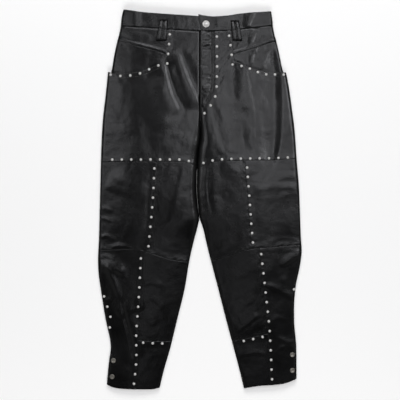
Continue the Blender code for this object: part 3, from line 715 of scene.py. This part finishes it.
def band_relief(top, end):
    """end gives the relief of the strip's end by distance across from the edge of the fly."""

    def relief(x, down):
        foot, head = waist_seam(x) - down, down - top(x)
        edge = -0.65 * (1 - np.clip(head / 0.9, 0, 1)) ** 2 - 0.7 * (1 - np.clip(foot / 2.6, 0, 1)) ** 2
        puckers = 0.8 * pucker(x, down, foot) + 0.5 * pucker(x, down, head)
        return 0.9 + 0.5 * lapped(foot) + edge + end(x - middle(down)) + puckers

    return relief


sew_panel(
    "waistband_right", "waistband_R",
    [(waist_top_right, waist_seam, side_right, under_fly, "cut sewn turned tucked")],
    band_relief(waist_top_right, lambda across: tucked(turning - across)),
    thickness=doubled_hide)
sew_panel(
    "waistband_left", "waistband_L",
    [(waist_top_left, waist_seam, middle, side_left, "cut sewn sewn turned")],
    band_relief(waist_top_left, lapped), thickness=doubled_hide)
lay_back(
    "waistband_rear", "waistband_back",
    lambda x: np.where(x < 0, waist_top_right(x), waist_top_left(x)) + 2 * inset, waist_seam,
    moved(side_right, inset), moved(side_left, -inset), thickness=2.4)

# The studs. Small domed steel rivets 6.8 mm across, 25 mm apart along the pocket mouths, beside the yokes
# and the fly, and down and across the legs. Each is pressed a little into the leather.


def metal(name, colour, roughness, tarnish, metal_share):
    """Plated metal with fine scratches and a little darker tarnish in patches."""
    plate = Finish(name)
    # below a metal share of one, the pale base colour also shows as a diffuse white: painted reflection
    plate.surface["Metallic"].default_value = metal_share
    cloud = plate.pattern("ShaderNodeTexNoise", "Fac", Scale=420.0, Detail=4.0)
    plate.give("Base Color", plate.mix(cloud, colour, [c * (1 - tarnish) for c in colour]))
    plate.give("Roughness", plate.spread_over(cloud, 0.0, 1.0, roughness - 0.05, roughness + 0.14))
    plate.give("Normal", plate.bump(cloud, 0.00006, 0.4))
    return plate.material


# the studs are only about half metal, so their near-white base colour shows as diffuse white too: painted
# reflection that makes them read bright
steel = metal("steel_painted_reflection", (0.97, 0.96, 0.94), roughness=0.45, tarnish=0.22, metal_share=0.55)


def turned_form(profile, sides):
    """Points and faces of a profile of radius and height turned about its axis, closed below."""
    points, faces = [(0.0, 0.0, profile[0][1])], []
    for radius, z in profile[1:-1]:
        turns = np.arange(sides) * math.tau / sides
        points += [(radius * math.cos(a), radius * math.sin(a), z) for a in turns]
    points.append((0.0, 0.0, profile[-1][1]))
    rings = len(profile) - 2
    for i in range(sides):
        after = (i + 1) % sides
        faces.append((0, 1 + i, 1 + after))
        for ring in range(rings - 1):
            a = 1 + ring * sides
            faces.append((a + i, a + sides + i, a + sides + after, a + after))
        last = 1 + (rings - 1) * sides
        faces.append((last + i, len(points) - 1, last + after))
    return np.array(points), faces


def spot_on(panel, x, down):
    """A place on a panel in metres, and the direction that the leather faces there."""
    reach = 1.5
    z = panels[panel]([x, x + reach, x - reach, x, x], [down, down, down, down + reach, down - reach])
    slope_x, slope_y = (z[1] - z[2]) / (2 * reach), -(z[3] - z[4]) / (2 * reach)
    return Vector((x, body_length / 2 - down, z[0])) * mm, Vector((-slope_x, -slope_y, 1)).normalized()


def set_hardware(name, profile, sides, spots, finish, nodes=()):
    """Copies of one turned form, each square on the leather at its spot, joined into one mesh."""
    shape, shape_faces = turned_form(profile, sides)
    points, faces = [], []
    for panel, x, down in spots:
        place, facing = spot_on(panel, x, down)
        turn = facing.to_track_quat("Z", "Y").to_matrix()
        first = len(points)
        points += [place + turn @ Vector(p) * mm for p in shape]
        faces += [[first + i for i in face] for face in shape_faces]
    piece = make_piece(name, points, faces, finish)
    if nodes:
        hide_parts(*nodes)


stud_profile = [
    (0, 2.1), (1.0, 1.96), (1.9, 1.52), (2.8, 0.85), (3.2, 0.35), (3.4, 0.12), (3.4, -0.3), (0, -0.3)]
# on each panel, the number of studs in a row and places along it; a row of one is set at its first place
stud_rows = {
    "studs_hip_right": {"hip_front_right": [
        (4, (-76.5, 64.5), (-78.3, 90), (-82.9, 139)),
        (6, (-105.3, 144), (-130, 154), (-149, 163), (-175, 169), (-201, 170), (-227, 166.5)),
        (9, (-222.6, 382.3), (-52, 382.3), (-28, 386))]},
    "studs_hip_left": {"hip_front_left": [
        (4, (74.2, 68), (77.5, 91), (82.9, 141)),
        (6, (105.6, 145), (130.6, 153), (149.4, 161), (172.4, 165.8), (196, 166), (213, 166.5)),
        (9, (43, 70), (43.5, 147), (42.6, 197), (38.8, 223), (27.3, 245), (11.5, 265)),
        (10, (9, 391), (36.5, 384), (60, 381.7), (105, 380), (173, 379), (223.4, 377))]},
    "studs_leg_right": {
        "thigh_outer_right": [(9, (-115.5, 405), (-119, 479), (-125.5, 553), (-130.3, 602))],
        "shin_outer_right": [
            (14, (-149.7, 633), (-155, 733), (-160.6, 809), (-161.9, 835), (-161.2, 883), (-167.3, 951.5)),
            (4, (-243.5, 730), (-236.5, 753), (-227.5, 778), (-229.2, 809))],
        "ankle_right": [(3, (-143.8, 846.8), (-119.3, 848.6), (-95.6, 849.3))]},
    "studs_leg_left": {
        "thigh_outer_left": [(9, (119.6, 402.6), (125.2, 475), (130.3, 546), (134.4, 592.4))],
        "shin_outer_left": [
            (14, (155.6, 622), (169.6, 745), (177.2, 818), (183.1, 940)), (1, (239.5, 712), (239.5, 735))],
        "ankle_left": [(3, (111.4, 843), (135.1, 838), (159.1, 832.5))]},
}
for name, panel_rows in stud_rows.items():
    spots = [
        (panel, x, down) for panel, rows in panel_rows.items() for count, *places in rows
        for x, down in spaced(places, count)]
    set_hardware(name, stud_profile, 16, spots, steel)

# The waist button and the ankle snaps. The button is a polished dome with a rolled rim on the lap of the
# waistband. Each ankle closes with two duller nickel snap caps, riveted through the shin's outer edge.

nickel = metal("dull_nickel", (0.56, 0.53, 0.47), roughness=0.3, tarnish=0.5, metal_share=0.94)
# the button is only partly metal, so its near-white base colour shows as diffuse white too: painted
# reflection that makes the dome read bright
polished = metal("polished_steel_painted_reflection", (0.97, 0.96, 0.94), roughness=0.38, tarnish=0.3, metal_share=0.6)
button_profile = [
    (0, 4.0), (2, 3.9), (4, 3.5), (5.6, 2.8), (6.5, 1.8), (6.9, 1.1), (7.4, 1.5), (8.1, 1.9), (8.7, 1.6),
    (8.8, 1.0), (8.5, 0.3), (8.4, -0.2), (0, -0.2)]
snap_profile = [
    (0, 1.7), (2.0, 1.7), (3.0, 1.9), (4.4, 2.4), (5.4, 2.3), (6.1, 1.8), (6.5, 1.1), (6.6, 0.5), (6.4, -0.2),
    (0, -0.2)]
snap_spots = {
    "R_upper": ("shin_outer_right", -219.8, 893), "R_lower": ("shin_outer_right", -223.1, 934),
    "L_upper": ("shin_outer_left", 235.0, 878), "L_lower": ("shin_outer_left", 235.0, 918)}
set_hardware(
    "button_dome", button_profile, 48, [("waistband_left", 15.6, 38)], polished,
    ["waist_button"])
for place, spot in snap_spots.items():
    set_hardware(
        "snap_cap_" + place, snap_profile, 40, [spot], nickel, ["ankle_snap_" + place])

# The belt loops. Doubled straps of the same leather, grooved down the middle and wider at the bottom. The top
# is caught in the waistband, and the lower end is folded under and stands off the yoke.

strap_thickness, loop_lift, loop_bow = 1.9, 4.2, 2.0


def make_loop(name, node, head, foot, band, below, twist):
    """head and foot are the left edge, right edge and place down of each end. twist tips the face."""
    share, share_down = np.meshgrid(np.linspace(0, 1, 23), np.linspace(0, 1, 34))
    left, right, down = (start + (end - start) * share_down for start, end in zip(head, foot))
    x = left + (right - left) * share
    seat = np.maximum(panels[band](x, down), panels[below](x, np.maximum(down, waist_seam(x) + 8)))
    smooth_seat = seat.copy()
    for _ in range(10):
        smooth_seat[1:-1] = (smooth_seat[:-2] + smooth_seat[1:-1] + smooth_seat[2:]) / 3
    across = (share - 0.5) * (right - left)
    from_ridge = np.abs(np.abs(across) / ((right - left) / 2) - 0.52) / 0.48
    rolled = -1.8 * np.clip(from_ridge, 0, 1) ** 4
    foot_end, head_end = np.clip(1 - (1 - share_down) * 12, 0, 1), np.clip(1 - share_down * 9, 0, 1)
    ends = -1.6 * foot_end**2 - 1.4 * head_end**2
    bow = loop_bow * np.sin(np.pi * share_down)
    z = np.maximum(smooth_seat, seat) + loop_lift - twist * across + bow + rolled + ends
    make_sheet(name, node, [(x, down, z)], strap_thickness)


make_loop(
    "loop_right", "belt_loop_R", (-101, -81, 27), (-112, -84, 81), "waistband_right", "yoke_right", 0.07)
make_loop("loop_left", "belt_loop_L", (78, 99, 29), (84, 107, 81), "waistband_left", "yoke_left", 0.012)

# The stitching. Twisted thread in stitches 2.7 mm long, in one to three rows a seam: black in the waistband,
# the fly and the legs, and a paler, grey waxed one along the pocket mouths and beside the yokes.

stitch_length, stitch_pitch, line_step = 2.7, 3.5, 0.5
# how far the thread reaches sideways and upwards around the middle of a stitch, and at its ends
stitch_girth = ((0.3, 0.02), (0.0, 0.34), (-0.3, 0.02), (0.0, -0.2))
stitch_end = -0.12
upright_lines = [
    middle, strip_right, strip_left, fly_stitching, mid_thigh_right, mid_thigh_left,
    shin_seam_right, shin_seam_left]


def thread(name, gap_shade, light):
    """Sewing thread, twisted from plies, with painted shade striped along it for the gaps between them."""
    cord = Finish(name)
    cord.surface["Roughness"].default_value = 0.55
    twist = cord.pattern("ShaderNodeTexWave", "Fac", Scale=1500.0)
    # the wave pattern stripes painted shade into the thread's colour, standing for the gaps between its plies
    cord.give("Base Color", cord.mix(twist, (gap_shade,) * 3, (light,) * 3))
    return cord.material


fine_thread = thread("fine_thread", 0.004, 0.012)
waxed_thread = thread("waxed_thread", 0.1, 0.24)


def sew(name, cord, panel_rows):
    """Each row of stitches on a panel is a line, how far beside it the row runs, and its range."""
    points, faces, up = [], [], np.array([0.0, 0.0, 1.0])
    rows = [(panels[panel], *row) for panel, sewn in panel_rows.items() for row in sewn]
    for top_of, line, margin, start, end in rows:
        at = np.arange(start, end, line_step)
        other = line(at) + margin
        x, down = (other, at) if line in upright_lines else (at, other)
        run = np.concatenate([[0.0], np.cumsum(np.hypot(np.diff(x), np.diff(down)))])
        for spot in np.arange(2.0, run[-1] - 2.0, stitch_pitch):
            ends = np.array([spot - stitch_length / 2, spot, spot + stitch_length / 2])
            stitch_x, stitch_down = np.interp(ends, run, x), np.interp(ends, run, down)
            z = top_of(stitch_x, stitch_down)
            spine = np.stack([stitch_x, body_length / 2 - stitch_down, z], -1)
            along = spine[2, :2] - spine[0, :2]
            side = np.array([-along[1], along[0], 0.0]) / np.linalg.norm(along)
            first = len(points)
            points.append(spine[0] + stitch_end * up)
            points += [spine[1] + sideways * side + rise * up for sideways, rise in stitch_girth]
            points.append(spine[2] + stitch_end * up)
            for i in range(4):
                a, b = first + 1 + i, first + 1 + (i + 1) % 4
                faces += [(first, b, a), (first + 5, a, b)]
    make_piece(name, [tuple(p * mm) for p in points], faces, cord)


sew("stitches_waist", fine_thread, {
    "waistband_right": [(waist_seam, -2.2, -198, -6), (waist_top_right, 2.2, -192, -6)],
    "waistband_left": [(waist_seam, -2.2, 2, 182), (waist_top_left, 2.2, -2, 178), (middle, 2.2, 19, 52)]})
sew("stitches_pockets_and_fly", waxed_thread, {
    "hip_front_right": [(mouth_right, 1.8, -228, -94), (mouth_right, 11.5, -228, -96),
        (strip_right, 1.8, 60, 136)],
    "hip_front_left": [(mouth_left, 1.8, 92, 214), (mouth_left, 11.5, 94, 214),
        (strip_left, -1.8, 60, 136)]})
sew("stitches_hips", fine_thread, {
    "hip_front_left": [(fly_stitching, 0.0, 62, 250), (fly_stitching, 5.6, 62, 254),
        (thigh_seam_left, -1.9, 0, 240), (middle, 2.0, 62, 244)],
    "hip_front_right": [(thigh_seam_right, -1.9, -246, -12)],
    "yoke_right": [(yoke_seam_right, -1.9, -200, -90)],
    "yoke_left": [(yoke_seam_left, -1.9, 90, 190)]})
sew("stitches_leg_right", fine_thread, {
    "thigh_outer_right": [(mid_thigh_right, -1.9, 394, 604), (knee_seam_right, -1.9, -250, -132)],
    "thigh_inner_right": [(mid_thigh_right, 5.5, 400, 612), (mid_thigh_right, 10.0, 400, 612),
        (knee_seam_right, -1.9, -116, -34)],
    "shin_outer_right": [(shin_seam_right, -1.9, 622, 958), (hem_right, -9, -230, -168)],
    "shin_inner_right": [(shin_seam_right, 5.5, 628, 834), (shin_seam_right, 10.0, 630, 834),
        (ankle_seam_right, -5.5, -150, -74)],
    "ankle_right": [(shin_seam_right, 5.5, 852, 956), (ankle_seam_right, 1.9, -148, -78),
        (hem_right, -9, -156, -108)]})
sew("stitches_leg_left", fine_thread, {
    "thigh_outer_left": [(mid_thigh_left, 1.9, 390, 604), (knee_seam_left, -1.9, 134, 250)],
    "thigh_inner_left": [(mid_thigh_left, -5.5, 394, 606), (mid_thigh_left, -10.0, 394, 606),
        (knee_seam_left, -1.9, 34, 124)],
    "shin_outer_left": [(shin_seam_left, 1.9, 612, 950), (hem_left, -9, 188, 238)],
    "shin_inner_left": [(shin_seam_left, -5.5, 618, 818), (shin_seam_left, -10.0, 620, 818),
        (ankle_seam_left, -5.5, 84, 164)],
    "ankle_left": [(shin_seam_left, -5.5, 838, 948), (ankle_seam_left, 1.9, 88, 164),
        (hem_left, -9, 120, 172)]})

# The table, lights and camera. The trousers lie on a plain pale surface and are seen from straight above.
# The leather mirrors oblong panels under the ceiling. Most of them hang towards the waist, so the hips shine
# and the shins stay dark. Two low panels beyond the waist and the ankles fill in the table's light.

table_width = 36
bpy.ops.mesh.primitive_plane_add(size=table_width, location=(0, 0, -0.0004))
table = bpy.context.object
table.name = "table"
pale = bpy.data.materials.new("pale_table")
pale.use_nodes = True
paint = pale.node_tree.nodes["Principled BSDF"].inputs
paint["Base Color"].default_value = (0.95, 0.95, 0.95, 1)
paint["Roughness"].default_value = 0.9
table.data.materials.append(pale)
table.visible_glossy = False


def softbox(name, place, aim, size, power, colour=(0.955, 0.96, 1.0)):
    lamp = bpy.data.lights.new(name, "AREA")
    lamp.shape = "RECTANGLE"
    lamp.size, lamp.size_y = size
    lamp.energy = power
    lamp.color = colour
    made = bpy.data.objects.new(name, lamp)
    made.location = place
    made.rotation_mode = "QUATERNION"
    made.rotation_quaternion = (Vector(place) - Vector(aim)).to_track_quat("Z", "Y")
    bpy.context.scene.collection.objects.link(made)
    return made


ceiling = 5.0
panels_above = {
    "light_left": (-3.2, 1.0, (1.2, 1.8), 16), "light_right": (2.9, 1.5, (1.1, 2.0), 42),
    "light_north": (0.3, 3.0, (3.4, 0.8), 45), "sky_left": (-1.83, 0.9, (0.7, 1.3), 6.5),
    "sky_right": (0.4, 1.05, (0.55, 1.5), 7.8), "sky_outer": (1.45, 0.95, (1.6, 1.2), 7.7),
    "sky_low": (0.75, -0.05, (0.9, 0.7), 1.5), "sky_south": (-0.3, -0.9, (0.8, 0.7), 1.2)}
for name, (x, y, size, power) in panels_above.items():
    softbox(name, (x, y, ceiling), (x, y, 0), size, power)
for name, y in (("fill_north", 3.0), ("fill_south", -3.0)):
    fill = softbox(name, (0, y, 1.7), (0, 0, 0), (3.0, 1.2), 82, (1.0, 0.995, 0.98))
    fill.visible_glossy = False

# the glow of the studio's walls and ceiling, by height from the horizon to straight above
dome_glow = ((0.0, 0.0), (0.3, 0.02), (0.62, 0.22), (0.8, 0.18), (0.96, 0.02), (1.0, 0.01))
dome = bpy.data.worlds.new("studio_dome")
dome.use_nodes = True
nodes, links = dome.node_tree.nodes, dome.node_tree.links
way_up = nodes.new("ShaderNodeSeparateXYZ")
links.new(nodes.new("ShaderNodeTexCoord").outputs["Generated"], way_up.inputs["Vector"])
glow = nodes.new("ShaderNodeValToRGB")
glow.color_ramp.interpolation = "EASE"
for height, level in dome_glow[1:-1]:
    glow.color_ramp.elements.new(height)
for stop, (height, level) in zip(glow.color_ramp.elements, dome_glow):
    stop.position = height
    stop.color = (level, level, level, 1)
links.new(way_up.outputs["Z"], glow.inputs["Fac"])
links.new(glow.outputs["Color"], nodes["Background"].inputs["Color"])
bpy.context.scene.world = dome

camera_height, view_width = 2.4, 1.02
lens = bpy.data.cameras.new("overhead")
lens.lens = lens.sensor_width * camera_height / view_width
camera = bpy.data.objects.new("overhead", lens)
camera.location = (0.0003, -0.0019, camera_height)
bpy.context.scene.collection.objects.link(camera)
bpy.context.scene.camera = camera
bpy.context.scene.view_settings.view_transform = "Standard"
